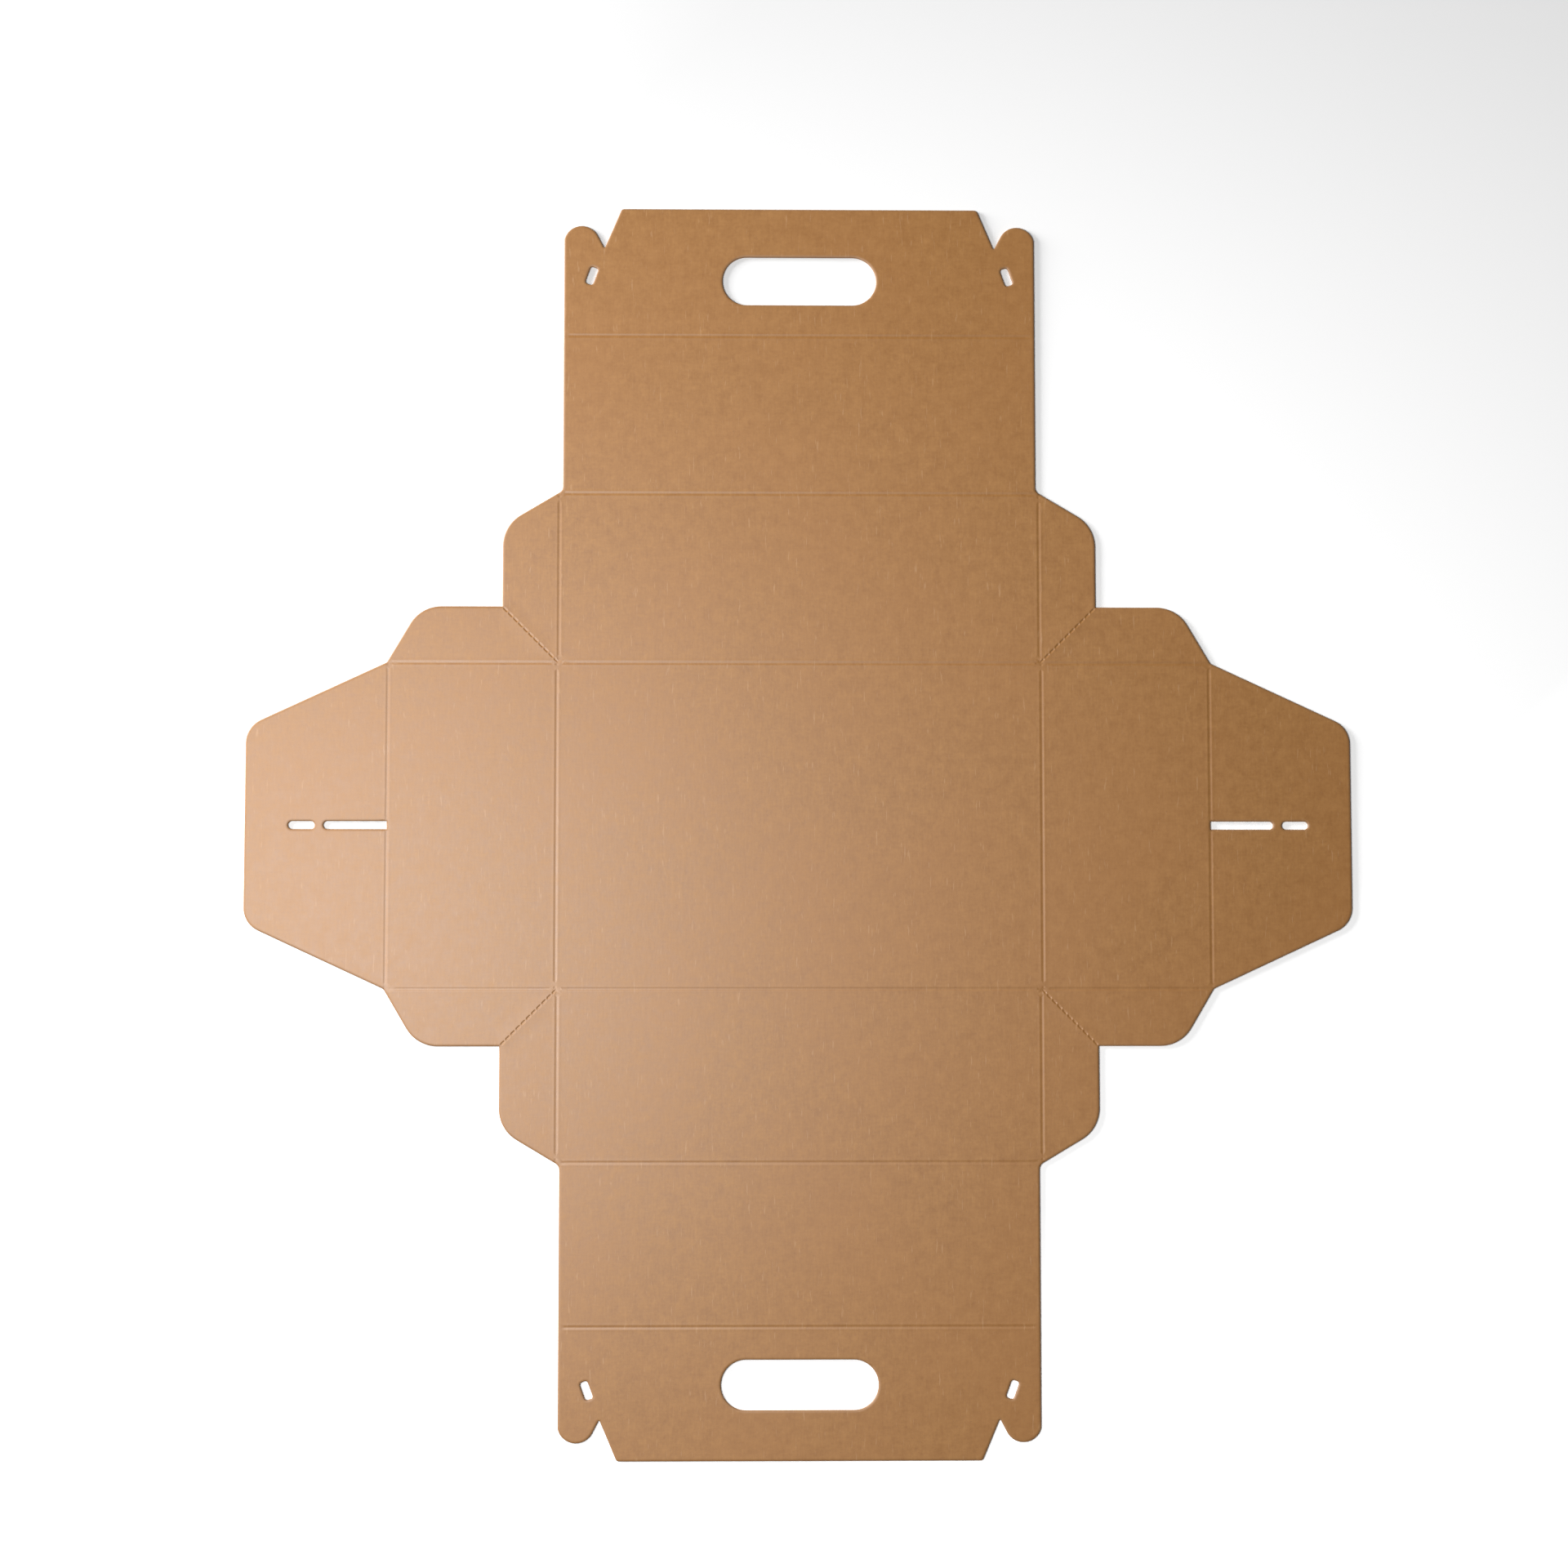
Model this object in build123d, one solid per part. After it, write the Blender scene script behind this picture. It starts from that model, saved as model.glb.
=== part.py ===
from build123d import *
import math
import os

# A die-cut carry box in one sheet of kraft board, creased and lying flat with its inner face up.
# Millimetres. The origin is the middle of the underside, +Y runs from handle to handle, +Z is up.
# The sheet is the same in all four quarters, so it is drawn once and mirrored.

# board and creases
board_thickness = 1.5
crease_width = 2.4
crease_depth = 0.25

# base, walls and roofs, from crease to crease
base_length = 270.0
base_width = 181.0
end_wall_height = 93.7
front_wall_height = 95.2
roof_length = 89.4
web_inset = 1.0
roof_inset = 1.8

# corner webs, which fold inward between a front wall and an end wall
web_width = 31.5
web_arm = 77.0
web_tip_radius = 20.0
web_root_radius = 4.0
web_flap_radius = 3.0
web_root_rise = 1.6
flap_root_gap = 0.9

# perforated crease across each web
dash_length = 2.3
dash_width = 1.3
dash_pitch = 4.0

# handle panels, with an ear at each end
handle_height = 72.4
handle_slope_angle = 66.0
handle_corner_radius = 2.0
ear_drop = 9.8
ear_radius = 10.1
ear_shoulder_angle = 14.0
ear_flank_angle = 65.0
notch_depth = 12.8
notch_radius = 0.5

# hand holes, with their middles this high above the handle crease
hand_hole_length = 86.5
hand_hole_width = 27.4
hand_hole_height = 31.4

# lock slots beside the ears, with their tops leaning toward the middle of the panel
lock_slot_length = 10.2
lock_slot_width = 4.6
lock_slot_radius = 1.5
lock_slot_tilt = 20.0
lock_slot_inset = 15.5
lock_slot_height = 34.2

# end flaps, which close over the ears
flap_length = 78.4
flap_end_width = 109.2
flap_corner_radius = 14.0

# two slots in line on each end flap
slot_width = 4.5
long_slot_length = 35.0
short_slot_length = 14.8
slot_gap = 4.7

# places that follow from the sizes above, for the quarter with +X and +Y
base_end = base_length / 2
base_front = base_width / 2
web_crease = base_end - web_inset
flap_crease = base_end + end_wall_height
roof_side = base_end - web_inset - roof_inset
roof_crease = base_front + front_wall_height
handle_crease = roof_crease + roof_length
handle_top = handle_crease + handle_height
flap_end = flap_crease + flap_length
web_head = (roof_side, roof_crease + web_root_rise)
flap_root = (flap_crease + flap_root_gap, base_front)


def vertex_near(sketch, point):
    """The corner of a sketch nearest to a point."""
    return sketch.vertices().sort_by_distance(Vector(point))[0]


def rounded(sketch, point, radius):
    """The sketch with the corner nearest to a point rounded."""
    return fillet(vertex_near(sketch, point), radius)


def front_panels():
    """A quarter of the base, front wall and roof, up to the handle crease."""
    wall = Polyline(
        (0, 0), (web_crease, 0), (web_crease, roof_crease), (roof_side, roof_crease),
        (roof_side, handle_crease), (0, handle_crease), close=True,
    )
    return make_face(wall)


def end_panels():
    """A quarter of the base's end, the end wall and the end flap that follows it."""
    flap_tip = (flap_end, flap_end_width / 2)
    panel = Polyline(
        (0, 0), (flap_end, 0), flap_tip, flap_root, (0, base_front), close=True,
    )
    return rounded(make_face(panel), flap_tip, flap_corner_radius)


def corner_web():
    """The L-shaped web on one corner of the base, with its two tips rounded."""
    front_tip = (web_crease + web_width, base_front + web_arm)
    end_tip = (web_crease + web_arm, base_front + web_width)
    inner_corner = (web_crease + web_width, base_front + web_width)
    foot = (roof_side, base_front)
    web = Polyline(foot, web_head, front_tip, inner_corner, end_tip, flap_root, close=True)
    face = make_face(web)
    for tip in (front_tip, end_tip):
        face = rounded(face, tip, web_tip_radius)
    return face


def polar(length, angle):
    """A vector in the sheet's plane, from its length and its angle in degrees from +X."""
    return Vector(length, 0).rotate(Axis.Z, angle)


def handle_panel():
    """Half of a handle panel: a sloped end, a V notch and a round-topped ear."""
    shoulder = polar(ear_radius, ear_shoulder_angle)
    ear_top = handle_top - ear_drop
    centre = Vector(roof_side - shoulder.X, ear_top - ear_radius)
    flank_top = centre + polar(ear_radius, ear_flank_angle + 90)

    flank_length = (flank_top.Y - ear_top + notch_depth) / math.sin(math.radians(ear_flank_angle))
    notch = flank_top - polar(flank_length, ear_flank_angle)
    slope_run = (handle_top - notch.Y) / math.tan(math.radians(handle_slope_angle))
    top_corner = Vector(notch.X - slope_run, handle_top)

    outline = Curve() + [
        Polyline((0, handle_crease), (0, handle_top), top_corner, notch, flank_top),
        ThreePointArc(flank_top, (centre.X, ear_top), centre + shoulder),
        Polyline(centre + shoulder, (roof_side, handle_crease), (0, handle_crease)),
    ]
    face = rounded(make_face(outline), top_corner, handle_corner_radius)
    return rounded(face, notch, notch_radius)


def hand_hole():
    """The hand hole in the middle of a handle panel."""
    place = Pos(0, handle_crease + hand_hole_height)
    return place * SlotOverall(hand_hole_length, hand_hole_width)


def lock_slot():
    """The leaning slot beside an ear."""
    place = Pos(roof_side - lock_slot_inset, handle_crease + lock_slot_height)
    return place * Rot(0, 0, lock_slot_tilt) * RectangleRounded(
        lock_slot_width, lock_slot_length, lock_slot_radius
    )


def flap_slots():
    """The slots of an end flap: the long one starts square on the crease, the short one is round-ended."""
    square_end = Pos(flap_crease + slot_width / 2, 0) * Rectangle(slot_width, slot_width)
    long_middle = flap_crease + long_slot_length / 2
    short_middle = flap_crease + long_slot_length + slot_gap + short_slot_length / 2
    long_slot = Pos(long_middle, 0) * SlotOverall(long_slot_length, slot_width)
    short_slot = Pos(short_middle, 0) * SlotOverall(short_slot_length, slot_width)
    return square_end + long_slot + short_slot


def blank_quarter():
    """The outline of one quarter of the sheet."""
    quarter = front_panels() + end_panels() + corner_web() + handle_panel()
    quarter = rounded(quarter, web_head, web_root_radius)
    return rounded(quarter, flap_root, web_flap_radius)


def groove(start, end, width, depth):
    """A round-bottomed groove in the top face from one point to another."""
    radius = (width**2 / 4 + depth**2) / (2 * depth)
    axis = Vector(*end) - Vector(*start)
    lift = Vector(0, 0, board_thickness - depth + radius)
    plane = Plane(origin=Vector(*start) + lift, z_dir=axis)
    return plane * Cylinder(radius, axis.length, align=(Align.CENTER, Align.CENTER, Align.MIN))


def creases():
    """The straight creases that cross one half of the sheet, then the perforated web creases."""
    grooves = []
    for side in (-1, 1):
        grooves.append(((side * base_end, -base_front), (side * base_end, base_front)))
        grooves.append(((side * flap_crease, -base_front), (side * flap_crease, base_front)))
        grooves.append(((-flap_root[0], side * base_front), (flap_root[0], side * base_front)))
        grooves.append(((-web_crease, side * roof_crease), (web_crease, side * roof_crease)))
        grooves.append(((-roof_side, side * handle_crease), (roof_side, side * handle_crease)))
        for end in (-1, 1):
            foot = (side * web_crease, end * base_front)
            head = (side * web_crease, end * web_head[1])
            grooves.append((foot, head))
    return [groove(start, end, crease_width, crease_depth) for start, end in grooves]


def web_dashes():
    """The row of short dashes from each base corner to the inner corner of its web."""
    step = dash_pitch / math.sqrt(2)
    half = dash_length / math.sqrt(8)
    count = int(web_width / step)
    dashes = []
    for index in range(count):
        along = step * (index + 0.5)
        for side in (-1, 1):
            for end in (-1, 1):
                start = (side * (web_crease + along - half), end * (base_front + along - half))
                stop = (side * (web_crease + along + half), end * (base_front + along + half))
                dashes.append(groove(start, stop, dash_width, crease_depth))
    return dashes


def box_blank():
    """The whole sheet."""
    holes = hand_hole() + lock_slot() + flap_slots()
    half = blank_quarter() - holes
    half += mirror(half, Plane.YZ)
    sheet = extrude(half + mirror(half, Plane.XZ), board_thickness)
    for cut in creases() + web_dashes():
        sheet -= cut
    return sheet


os.makedirs("parts", exist_ok=True)
export_step(box_blank(), "parts/box_blank.step")
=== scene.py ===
import math

import bpy
import numpy as np
from mathutils import Matrix, Vector
from mathutils.geometry import delaunay_2d_cdt


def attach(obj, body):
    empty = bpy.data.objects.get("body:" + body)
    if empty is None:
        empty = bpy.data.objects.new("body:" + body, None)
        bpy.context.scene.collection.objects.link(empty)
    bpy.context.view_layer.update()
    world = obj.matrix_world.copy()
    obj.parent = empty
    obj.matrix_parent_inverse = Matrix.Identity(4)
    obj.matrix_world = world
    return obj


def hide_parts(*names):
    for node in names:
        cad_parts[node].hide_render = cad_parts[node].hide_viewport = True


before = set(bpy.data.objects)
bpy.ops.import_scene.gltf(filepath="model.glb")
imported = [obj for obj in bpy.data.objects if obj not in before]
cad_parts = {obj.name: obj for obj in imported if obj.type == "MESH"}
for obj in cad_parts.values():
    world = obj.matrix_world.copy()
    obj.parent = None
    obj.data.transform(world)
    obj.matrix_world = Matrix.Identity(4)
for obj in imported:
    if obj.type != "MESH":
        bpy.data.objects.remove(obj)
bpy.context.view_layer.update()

# Camera. It looks almost straight down on the sheet from 1.36 m, a little from the front.
# The lens is 56.25 mm on a 36 mm sensor, with no shift.
camera_place = Vector((-0.02824, -0.06353, 1.3595))
camera_target = Vector((-0.0086, 0.02306, 0.0))
camera = bpy.data.objects.new("camera", bpy.data.cameras.new("camera"))
camera.data.sensor_width = 36.0
camera.data.lens = 56.25
back = (camera_place - camera_target).normalized()
right = Vector((0, 1, 0)).cross(back).normalized()
upward = back.cross(right)
turn = Matrix((right, upward, back)).transposed().to_4x4()
camera.matrix_world = Matrix.Translation(camera_place) @ turn
bpy.context.scene.collection.objects.link(camera)
bpy.context.scene.camera = camera


# Sheet. A blank die-cut from one piece of 1.5 mm kraft board, creased and lying flat.
# The die leaves a crushed rim on every cut edge, soft grooves at the folds, and a row of
# short pits across each corner web so that it folds inward. Its sizes are in millimetres.
MM = 0.001
BOARD_TOP = 1.475
BEAD_HEIGHT = 0.025
BASE_END = 135.0
BASE_FRONT = 90.5
WEB_CREASE = 134.0
ROOF_SIDE = 132.2
ROOF_CREASE = 185.7
FLAP_CREASE = 228.7
HANDLE_CREASE = 275.1
HANDLE_TOP = 347.5
WEB_INNER = (165.5, 122.0)
EAR_CENTRE = (122.4, 327.6)
EAR_RADIUS = 10.1
NOTCH = (109.6, 324.9)
WEB_HEAD = 187.3
FLAP_ROOT = 229.6
HAND_HOLE_MIDDLE = (29.55, 306.5)
HAND_HOLE_RADIUS = 13.7
LOCK_SLOT_MIDDLE = (116.7, 309.3)
LOCK_SLOT_HALF = (2.3, 5.1)
LOCK_SLOT_LEAN = 20.0
FLAP_SLOT_RADIUS = 2.25
LONG_SLOT_END = 261.45
SHORT_SLOT_ENDS = (270.65, 280.95)
FOLD_WIDTH = 1.0
FOLD_DEPTH = 0.10
PIT_WIDTH = 0.65
PIT_DEPTH = 0.20
PIT_PITCH = 4.0
PIT_LENGTH = 2.0
PIT_COUNT = 11
RIM_DROP = 0.34
RIM_WIDTH = 0.6
RIM_INSETS = (0.22, 0.6, 1.5)
GRID_STEP = 8.0
CUT_STEP = 1.6


def arc(centre, radius, first, last, step=9.0):
    """Points on an arc, with its angles in degrees."""
    count = max(2, int(abs(last - first) / step))
    angles = np.radians(np.linspace(first, last, count + 1))
    return [(centre[0] + radius * math.cos(a), centre[1] + radius * math.sin(a)) for a in angles]


def rounded(corners):
    """The outline through corners given as (x, y, radius), or as ready points (x, y)."""
    points = []
    for index, corner in enumerate(corners):
        place = Vector(corner[:2])
        if len(corner) == 2:
            points.append(tuple(place))
            continue
        before = (Vector(corners[index - 1][:2]) - place).normalized()
        after = (Vector(corners[(index + 1) % len(corners)][:2]) - place).normalized()
        half = before.angle(after) / 2
        middle = place + (before + after).normalized() * corner[2] / math.sin(half)
        start = place + before * corner[2] / math.tan(half) - middle
        turn = (math.pi - 2 * half) * (1 if before.x * after.y - before.y * after.x < 0 else -1)
        count = max(3, int(abs(turn) * corner[2] / CUT_STEP))
        for step in range(count + 1):
            points.append(tuple(middle + Matrix.Rotation(turn * step / count, 2) @ start))
    return points


def resampled(loop, spacing=CUT_STEP):
    """A closed loop with its long runs divided."""
    points = []
    for index, start in enumerate(loop):
        end = loop[(index + 1) % len(loop)]
        length = math.dist(start, end)
        if length < 0.05:
            continue
        count = max(1, round(length / spacing))
        for step in range(count):
            t = step / count
            points.append((start[0] + (end[0] - start[0]) * t, start[1] + (end[1] - start[1]) * t))
    return points


def sheet_outline():
    """The outside cut, from one quarter mirrored to all four."""
    quarter = [(100.0, HANDLE_TOP, 2.0), (*NOTCH, 0.5)]
    quarter += arc(EAR_CENTRE, EAR_RADIUS, 155, 14)
    quarter += [(ROOF_SIDE, WEB_HEAD, 4.0), (165.5, 167.5, 20.0), (*WEB_INNER, 0.15)]
    quarter += [(211.0, 122.0, 20.0), (FLAP_ROOT, BASE_FRONT, 3.0), (307.1, 54.6, 14.0)]
    loop = []
    for side, end in ((1, 1), (1, -1), (-1, -1), (-1, 1)):
        turned = [(c[0] * side, c[1] * end, *c[2:]) for c in quarter]
        loop += turned if side * end == 1 else turned[::-1]
    return rounded(loop)


def sheet_holes():
    """The hand holes, the lock slots beside the ears and the slots of the end flaps."""
    holes = []
    grip_x, grip_y = HAND_HOLE_MIDDLE
    slot_x, slot_y = LOCK_SLOT_HALF
    lean = Matrix.Rotation(math.radians(LOCK_SLOT_LEAN), 2)
    grip = arc((grip_x, grip_y), HAND_HOLE_RADIUS, -90, 90, 6)
    grip += arc((-grip_x, grip_y), HAND_HOLE_RADIUS, 90, 270, 6)
    slot = rounded([(x, y, 1.5) for x, y in (
        (slot_x, slot_y), (slot_x, -slot_y), (-slot_x, -slot_y), (-slot_x, slot_y))])
    leaning = [lean @ Vector(p) + Vector(LOCK_SLOT_MIDDLE) for p in slot]
    for end in (-1, 1):
        holes.append([(x, y * end) for x, y in grip])
        for side in (-1, 1):
            holes.append([(p.x * side, p.y * end) for p in leaning])

    radius = FLAP_SLOT_RADIUS
    near, far = SHORT_SLOT_ENDS
    long_slot = [(FLAP_CREASE, radius), *arc((LONG_SLOT_END, 0), radius, 90, -90, 15)]
    long_slot.append((FLAP_CREASE, -radius))
    short_slot = arc((far, 0), radius, 90, -90, 15) + arc((near, 0), radius, -90, -270, 15)
    for side in (-1, 1):
        holes += [[(x * side, y) for x, y in cut] for cut in (long_slot, short_slot)]
    return holes


def area(loop):
    """The area of a loop, less than 0 when it runs clockwise."""
    return sum(a[0] * b[1] - b[0] * a[1] for a, b in zip(loop, loop[1:] + loop[:1])) / 2


def inset(loop, distance):
    """A loop moved sideways into the board, whatever way round it runs."""
    points = [Vector(p) for p in loop]
    moved = []
    for index, point in enumerate(points):
        before = (point - points[index - 1]).normalized()
        after = (points[(index + 1) % len(points)] - point).normalized()
        normal = Vector((-before.y - after.y, before.x + after.x)) / 2
        normal /= max(normal.length_squared, 0.35)
        moved.append(tuple(point + normal * distance))
    return moved


def inside_all(points, loops):
    """Which points lie in the outline and in none of the holes."""
    points = np.asarray(points)
    odd = np.zeros(len(points), bool)
    for loop in loops:
        a = np.asarray(loop)
        b = np.roll(a, -1, axis=0)
        for first in range(0, len(points), 4000):
            x, y = points[first:first + 4000, :1], points[first:first + 4000, 1:]
            spans = (a[:, 1] > y) != (b[:, 1] > y)
            rise = np.where(b[:, 1] == a[:, 1], 1.0, b[:, 1] - a[:, 1])
            cross = a[:, 0] + (y - a[:, 1]) * (b[:, 0] - a[:, 0]) / rise
            odd[first:first + 4000] ^= (np.sum(spans & (x < cross), axis=1) % 2).astype(bool)
    return odd


def edge_distance(points, loops):
    """How far each point is from the nearest cut."""
    cut = np.vstack([np.asarray(loop) for loop in loops])
    nearest = np.empty(len(points))
    for first in range(0, len(points), 1500):
        gap = points[first:first + 1500, None, :] - cut[None]
        nearest[first:first + 1500] = np.sqrt((gap ** 2).sum(2).min(1))
    return nearest


def fold_lines():
    """Every crease as (start, end), pressed by a rounded rule."""
    lines = []
    for side in (-1, 1):
        lines.append(((side * BASE_END, -BASE_FRONT + 1), (side * BASE_END, BASE_FRONT - 1)))
        lines.append(((side * FLAP_CREASE, -BASE_FRONT), (side * FLAP_CREASE, BASE_FRONT)))
        lines.append(((-FLAP_ROOT, side * BASE_FRONT), (FLAP_ROOT, side * BASE_FRONT)))
        lines.append(((-WEB_CREASE, side * ROOF_CREASE), (WEB_CREASE, side * ROOF_CREASE)))
        lines.append(((-ROOF_SIDE, side * HANDLE_CREASE), (ROOF_SIDE, side * HANDLE_CREASE)))
        for end in (-1, 1):
            foot = (side * WEB_CREASE, end * (BASE_FRONT + 1))
            lines.append((foot, (side * WEB_CREASE, end * WEB_HEAD)))
    return lines


def web_pits():
    """The short pits across each web, as (start, end) of their middle lines."""
    pits = []
    step = PIT_PITCH / math.sqrt(2)
    half = PIT_LENGTH / math.sqrt(8)
    for index in range(PIT_COUNT):
        along = step * (index + 0.5)
        for side in (-1, 1):
            for end in (-1, 1):
                start = (side * (WEB_CREASE + along - half), end * (BASE_FRONT + along - half))
                stop = (side * (WEB_CREASE + along + half), end * (BASE_FRONT + along + half))
                pits.append((start, stop))
    return pits


def to_segment(points, start, end):
    """The distance of each point from one segment."""
    start, end = np.array(start), np.array(end)
    run = end - start
    t = np.clip(((points - start) @ run) / (run @ run), 0, 1)
    return np.linalg.norm(points - start - t[:, None] * run, axis=1)


def pressed(points):
    """How deep each point is pressed, how far it is raised as a bead, and how near it is to a crease (a
    band that the material darkens as painted shade).
    """
    depth, bead, mark = (np.zeros(len(points)) for _ in range(3))
    folds = (fold_lines(), FOLD_WIDTH, FOLD_DEPTH)
    pits = (web_pits(), PIT_WIDTH, PIT_DEPTH)
    for lines, width, most in (folds, pits):
        for start, end in lines:
            away = to_segment(points, start, end)
            groove = np.clip(1 - (away / width) ** 2, 0, 1) ** 1.5
            depth = np.maximum(depth, most * groove)
            mark = np.maximum(mark, np.clip(1.25 - away / (1.6 * width), 0, 1))
            bead = np.maximum(bead, np.exp(-((away - 1.45 * width) / (0.45 * width)) ** 2))
    return depth, bead * (depth < 0.01), mark


def fill_points():
    """Points inside the sheet: rows along the folds, a lattice on each pit, and a grid."""
    rows = (0.0, 0.35, 0.7, 1.05, 1.4, 1.8, 2.3, 3.0)
    pit_rows = (-1.3, -0.9, -0.6, -0.3, 0, 0.3, 0.6, 0.9, 1.3)
    pit_steps = (-1.75, -1.35, -0.95, -0.5, 0, 0.5, 0.95, 1.35, 1.75)
    points = []
    for start, end in fold_lines():
        start, end = Vector(start), Vector(end)
        run = (end - start).normalized()
        side = Vector((-run.y, run.x))
        count = round((end - start).length / 3.5)
        for step in range(count + 1):
            middle = start.lerp(end, step / count)
            points += [tuple(middle + side * d * s) for d in rows for s in (-1, 1)]
    for start, end in web_pits():
        start, end = Vector(start), Vector(end)
        run = (end - start).normalized()
        side = Vector((-run.y, run.x))
        for along in pit_steps:
            middle = (start + end) / 2 + run * along
            points += [tuple(middle + side * d) for d in pit_rows]
    grid_x = np.arange(-304, 305, GRID_STEP)
    grid_y = np.arange(-344, 345, GRID_STEP)
    grid = np.array([(x, y) for x in grid_x for y in grid_y])
    near = np.full(len(grid), 99.0)
    for start, end in fold_lines() + web_pits():
        near = np.minimum(near, to_segment(grid, start, end))
    return np.vstack([np.array(points), grid[near > 4.0]])


def triangles(points, edges, loops):
    """Triangles over the board between its cuts."""
    found = delaunay_2d_cdt([Vector(p) for p in points], edges, [], 0, 1e-5, False)
    corners = np.array([tuple(v) for v in found[0]])
    faces = np.array(found[2])
    kept = inside_all(corners[faces].mean(1), loops)
    return corners, faces[kept]


def loop_edges(loops):
    """The edges of closed loops whose points follow one another in a list."""
    edges = []
    first = 0
    for loop in loops:
        edges += [(first + i, first + (i + 1) % len(loop)) for i in range(len(loop))]
        first += len(loop)
    return edges


outline = resampled(sheet_outline())
if area(outline) < 0:
    outline.reverse()
cuts = [outline]
for hole in sheet_holes():
    hole = resampled(hole)
    if area(hole) > 0:
        hole.reverse()
    cuts.append(hole)

rings = [cuts] + [[inset(loop, d) for loop in cuts] for d in RIM_INSETS]
points = [p for ring in rings for loop in ring for p in loop]
edges = loop_edges([loop for ring in rings[:2] for loop in ring])
fill = fill_points()
fill = fill[inside_all(fill, cuts)]
fill = fill[edge_distance(fill, cuts) > 1.0]
seen = set()
kept_fill = []
for x, y in fill:
    key = (round(x / 0.22), round(y / 0.22))
    if key not in seen:
        seen.add(key)
        kept_fill.append((x, y))
flat, top_faces = triangles(points + kept_fill, edges, cuts)
away = edge_distance(flat, cuts)
depth, bead, crease_band = pressed(flat)
rim_drop = RIM_DROP * np.clip(1 - away / RIM_WIDTH, 0, 1) ** 2.2
height = BOARD_TOP + BEAD_HEIGHT * bead * np.clip(away - RIM_WIDTH, 0, 1) - depth - rim_drop
on_cut = away < 1e-4

under_points = [p for loop in cuts for p in loop]
under_flat, under_faces = triangles(under_points, loop_edges(cuts), cuts)

top_key = {(round(x, 3), round(y, 3)): i for i, (x, y) in enumerate(flat) if on_cut[i]}
vertices = [(x * MM, y * MM, z * MM) for (x, y), z in zip(flat, height)]
marks = list(np.clip(1 - away / 1.5, 0, 1) ** 1.6)
creased = list(crease_band)
faces = [tuple(int(i) for i in f) for f in top_faces]
base = len(vertices)
vertices += [(x * MM, y * MM, 0.0) for x, y in under_flat]
marks += [1.0 if i < len(under_points) else 0.0 for i in range(len(under_flat))]
creased += [0.0] * len(under_flat)
faces += [tuple(base + int(i) for i in f[::-1]) for f in under_faces]
under_key = {(round(x, 3), round(y, 3)): base + i for i, (x, y) in enumerate(under_flat)}
for loop in cuts:
    for index, start in enumerate(loop):
        end = loop[(index + 1) % len(loop)]
        a, b = [(round(p[0], 3), round(p[1], 3)) for p in (start, end)]
        if a in top_key and b in top_key and a in under_key and b in under_key:
            faces.append((top_key[a], under_key[a], under_key[b], top_key[b]))

sheet_mesh = bpy.data.meshes.new("kraft_blank")
sheet_mesh.from_pydata(vertices, [], faces)
sheet_mesh.attributes.new("cut_edge", "FLOAT", "POINT").data.foreach_set("value", marks)
sheet_mesh.attributes.new("crease", "FLOAT", "POINT").data.foreach_set("value", creased)
sheet_mesh.validate()
sheet_mesh.shade_smooth()
sheet_mesh.set_sharp_from_angle(angle=math.radians(50))
kraft_blank = bpy.data.objects.new("kraft_blank", sheet_mesh)
bpy.context.scene.collection.objects.link(kraft_blank)


class Value:
    """A socket of a shader that can be added to, subtracted and multiplied."""

    def __init__(self, maker, socket):
        self.maker = maker
        self.socket = socket

    def _math(self, operation, first, second):
        return self.maker.node("ShaderNodeMath", {"operation": operation}, {0: first, 1: second})

    def __add__(self, other):
        return self._math("ADD", self, other)

    __radd__ = __add__

    def __sub__(self, other):
        return self._math("SUBTRACT", self, other)

    def __rsub__(self, other):
        return self._math("SUBTRACT", other, self)

    def __mul__(self, other):
        return self._math("MULTIPLY", self, other)

    __rmul__ = __mul__


class Finish:
    """A material with one method that adds any node."""

    def __init__(self, tree):
        self.tree = tree
        self.tree.nodes.clear()

    def node(self, kind, settings=None, inputs=None, output=0):
        made = self.tree.nodes.new(kind)
        for name, setting in (settings or {}).items():
            setattr(made, name, setting)
        for name, given in (inputs or {}).items():
            if isinstance(given, Value):
                self.tree.links.new(given.socket, made.inputs[name])
            else:
                made.inputs[name].default_value = given
        return Value(self, made.outputs[output]) if made.outputs else made

    def band(self, value, low, high):
        """The value spread from 0 at low to 1 at high, and held there beyond."""
        return self.node("ShaderNodeMapRange", {"clamp": True}, {0: value, 1: low, 2: high})

    def mixed(self, factor, first, second):
        """Two colours mixed by a factor."""
        colours = {0: factor, 6: first, 7: second}
        return self.node("ShaderNodeMix", {"data_type": "RGBA"}, colours, 2)


def linear(red, green, blue):
    """A colour written as 0 to 255 screen values."""
    channels = []
    for level in (red / 255, green / 255, blue / 255):
        channels.append(level / 12.92 if level <= 0.04045 else ((level + 0.055) / 1.055) ** 2.4)
    return (*channels, 1.0)


kraft = bpy.data.materials.new("kraft_board")
kraft.use_nodes = True
board = Finish(kraft.node_tree)
place = board.node("ShaderNodeTexCoord", output="Object")


def noise(scale, detail=3.0, roughness=0.55, stretch=(1, 1, 1), output="Fac"):
    """A mottle of that many marks to the metre, stretched along an axis where its factor is small."""
    spread = board.node("ShaderNodeMapping", inputs={"Vector": place, "Scale": stretch})
    values = {"Vector": spread, "Scale": scale, "Detail": detail, "Roughness": roughness}
    return board.node("ShaderNodeTexNoise", inputs=values, output=output)


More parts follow.
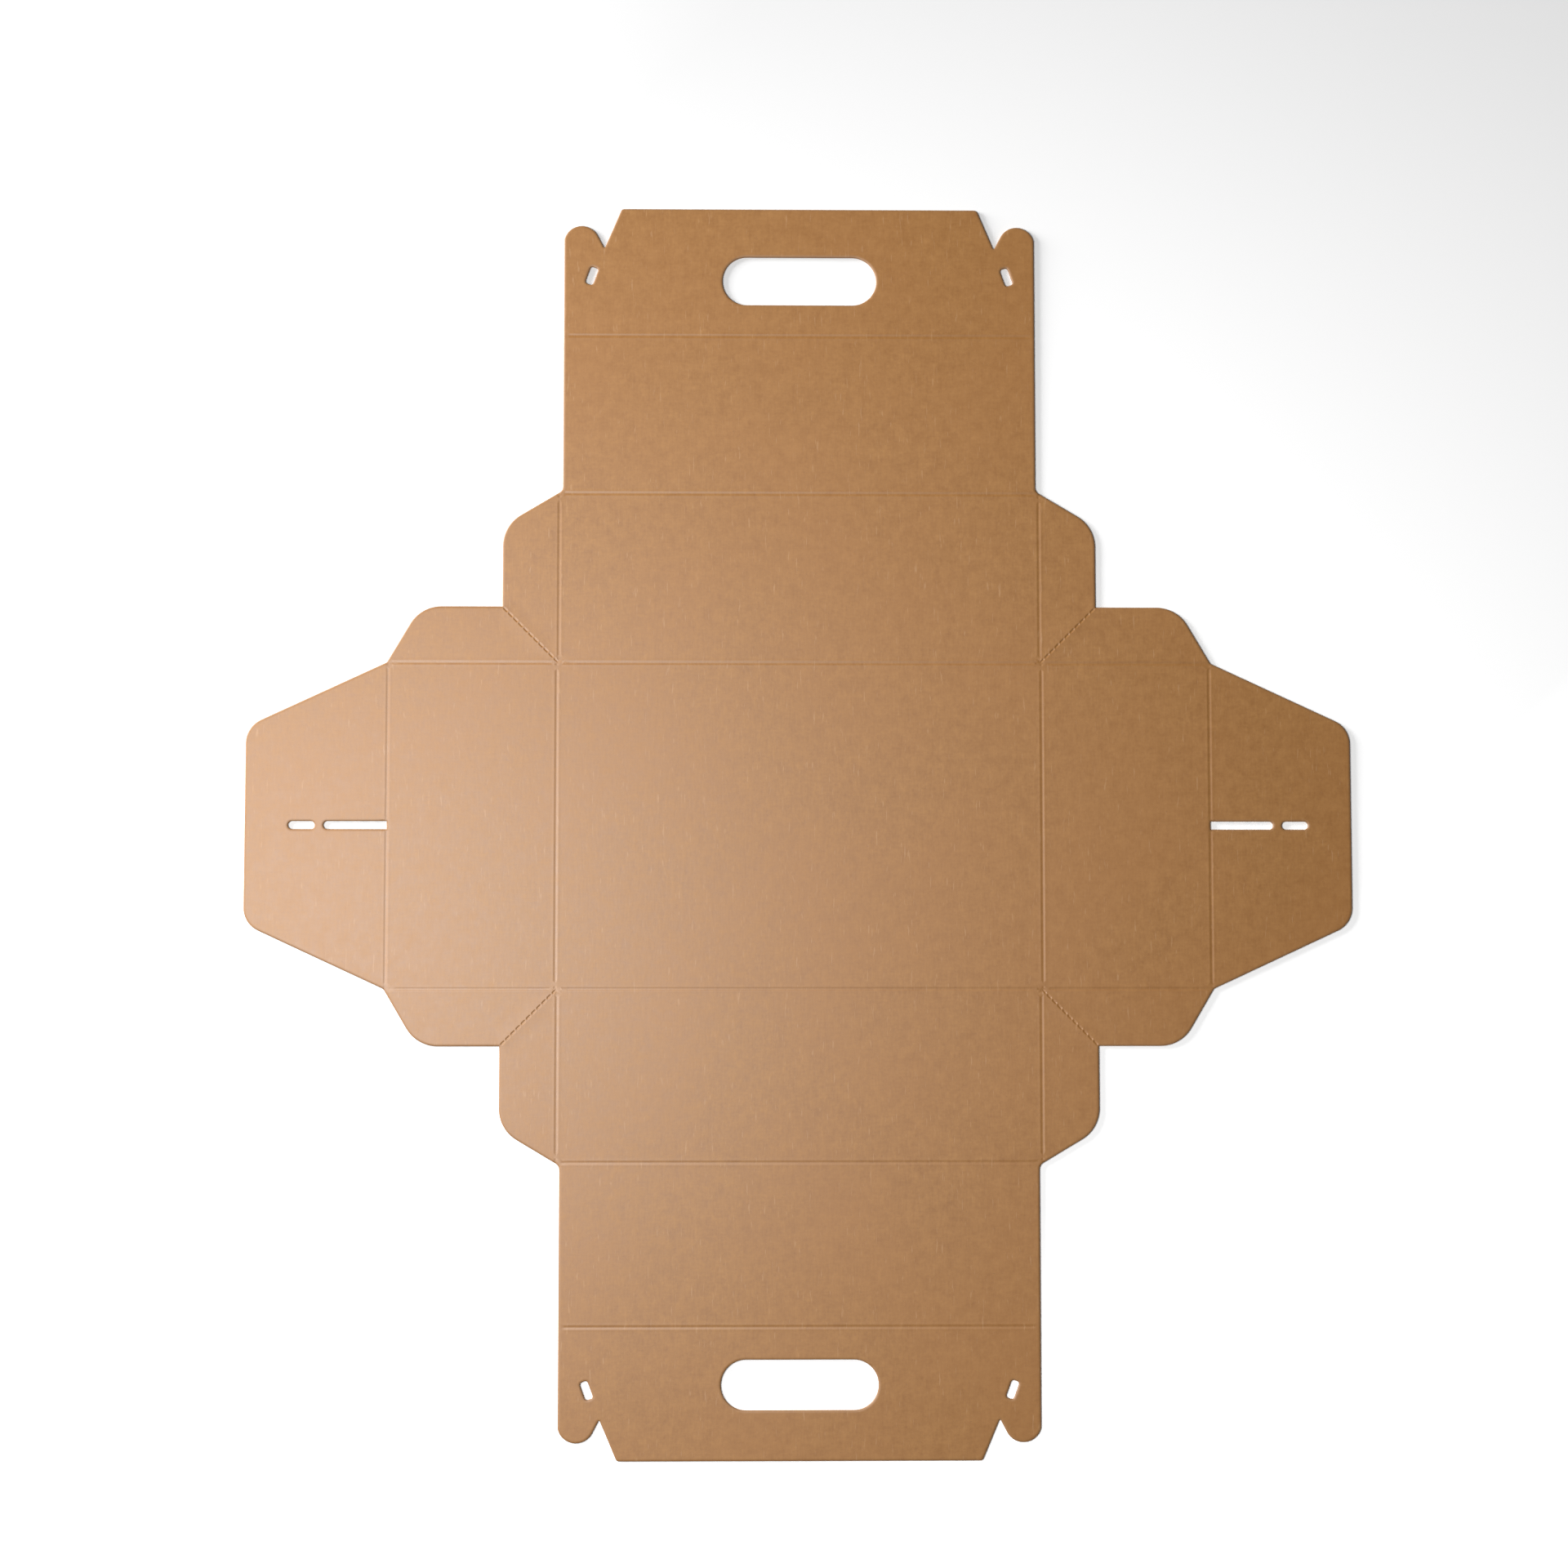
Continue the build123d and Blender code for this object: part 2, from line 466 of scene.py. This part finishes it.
# fibre formation: clouds, flocks and single fibres lying mostly along the machine's run
clouds = noise(9.0, 2.0)
flocks = noise(150.0, 4.0, 0.6)
grain = noise(520.0, 4.0, 0.65)
run_fibres = noise(900.0, 3.0, 0.6, (1.0, 0.16, 1.0))
cross_fibres = noise(700.0, 3.0, 0.6, (0.2, 1.0, 1.0))
pale_fibres = board.band(noise(1100.0, 2.0, 0.5, (0.9, 0.1, 1.0)), 0.66, 0.74)
specks = board.band(noise(1500.0, 1.0, 0.4), 0.73, 0.78)
edge_mark = board.node("ShaderNodeAttribute", {"attribute_name": "cut_edge"}, output="Fac")
fold_band = board.node("ShaderNodeAttribute", {"attribute_name": "crease"}, output="Fac")

tone = 0.34 * flocks + 0.30 * grain + 0.22 * run_fibres + 0.14 * cross_fibres
tone = board.band(tone, 0.36, 0.64)
colour = board.mixed(tone, linear(149, 98, 38), linear(171, 119, 56))
colour = board.mixed(0.35 * board.band(clouds, 0.35, 0.65), colour, linear(165, 110, 50))
colour = board.mixed(0.30 * pale_fibres, colour, linear(198, 155, 112))
colour = board.mixed(0.45 * specks, colour, linear(104, 68, 39))
# painted shade: the colour darkens a little along every crease and pit
colour = board.mixed(0.10 * fold_band, colour, linear(138, 91, 52))
colour = board.mixed(0.50 * edge_mark, colour, linear(132, 100, 72))

roughness = 0.40 + 0.10 * flocks + 0.06 * grain + 0.12 * edge_mark - 0.04 * fold_band
relief = 0.5 * grain + 0.3 * run_fibres + 0.2 * flocks
bump_values = {"Height": relief, "Strength": 0.30, "Distance": 0.00012}
surface = board.node("ShaderNodeBump", inputs=bump_values)
shader_values = {
    "Base Color": colour, "Roughness": roughness, "Normal": surface, "Specular IOR Level": 1.0,
    "IOR": 1.5,
}
shader = board.node("ShaderNodeBsdfPrincipled", inputs=shader_values)
board.node("ShaderNodeOutputMaterial", inputs={"Surface": shader})
sheet_mesh.materials.append(kraft)
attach(kraft_blank, "root")
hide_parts("box_blank")


# Floor. A matt white studio table under the sheet, which takes its soft shadow. What is seen
# of it directly is whiter, and whitest away from the lamps, so that it reads as one white.
TABLE_HALF = 30.0
TABLE_DROP = 0.00005
AWAY_FROM_LAMPS = (0.7, -0.7, 0)


def grey(level):
    """A neutral colour."""
    return (level, level, level, 1.0)


corners = [(x * TABLE_HALF, y * TABLE_HALF, -TABLE_DROP) for x, y in ((-1, -1), (1, -1), (1, 1), (-1, 1))]
floor_mesh = bpy.data.meshes.new("floor")
floor_mesh.from_pydata(corners, [], [(0, 1, 2, 3)])
floor = bpy.data.objects.new("floor", floor_mesh)
bpy.context.scene.collection.objects.link(floor)
table_white = bpy.data.materials.new("white_table")
table_white.use_nodes = True
table = Finish(table_white.node_tree)
seen_directly = table.node("ShaderNodeLightPath", output="Is Camera Ray")
mirrored = table.node("ShaderNodeLightPath", output="Is Glossy Ray")
through = table.node("ShaderNodeLightPath", output="Is Transmission Ray")
shown = table.band(seen_directly + mirrored + through, 0.0, 1.0)
spot = table.node("ShaderNodeTexCoord", output="Object")
direction = {0: spot, 1: AWAY_FROM_LAMPS}
across = table.node("ShaderNodeVectorMath", {"operation": "DOT_PRODUCT"}, direction, "Value")
white = table.mixed(table.band(across, -0.35, 0.25), grey(0.86), grey(1.36))
white = table.mixed(table.band(across, 0.24, 0.62), white, grey(3.2))
white = table.mixed(shown, grey(0.55), white)
matt = table.node("ShaderNodeBsdfDiffuse", inputs={"Color": white})
table.node("ShaderNodeOutputMaterial", inputs={"Surface": matt})
floor_mesh.materials.append(table_white)


# Light. A tall soft panel low on the left gives the shading and the shadow, a smaller one above
# the left edge gives the sheen, and the room fills in.
def panel(name, place, target, width, height, power):
    """A soft rectangular lamp aimed at a point."""
    lamp = bpy.data.lights.new(name, "AREA")
    lamp.shape = "RECTANGLE"
    lamp.size = width
    lamp.size_y = height
    lamp.energy = power
    held = bpy.data.objects.new(name, lamp)
    held.location = place
    held.rotation_euler = (Vector(target) - Vector(place)).to_track_quat("-Z", "Y").to_euler()
    bpy.context.scene.collection.objects.link(held)


panel("low_panel", (-1.7, 0.8, 0.38), (0, 0, 0), 0.9, 0.7, 68.0)
panel("sheen_panel", (-0.51, -0.08, 1.25), (-0.25, -0.05, 0), 0.5, 0.7, 14.6)
room = bpy.data.worlds.new("room")
room.use_nodes = True
bpy.context.scene.world = room
room_nodes = Finish(room.node_tree)
glow = room_nodes.node("ShaderNodeBackground", inputs={"Color": (1, 1, 1, 1), "Strength": 0.08})
room_nodes.node("ShaderNodeOutputWorld", inputs={"Surface": glow})
bpy.context.scene.view_settings.view_transform = "Standard"
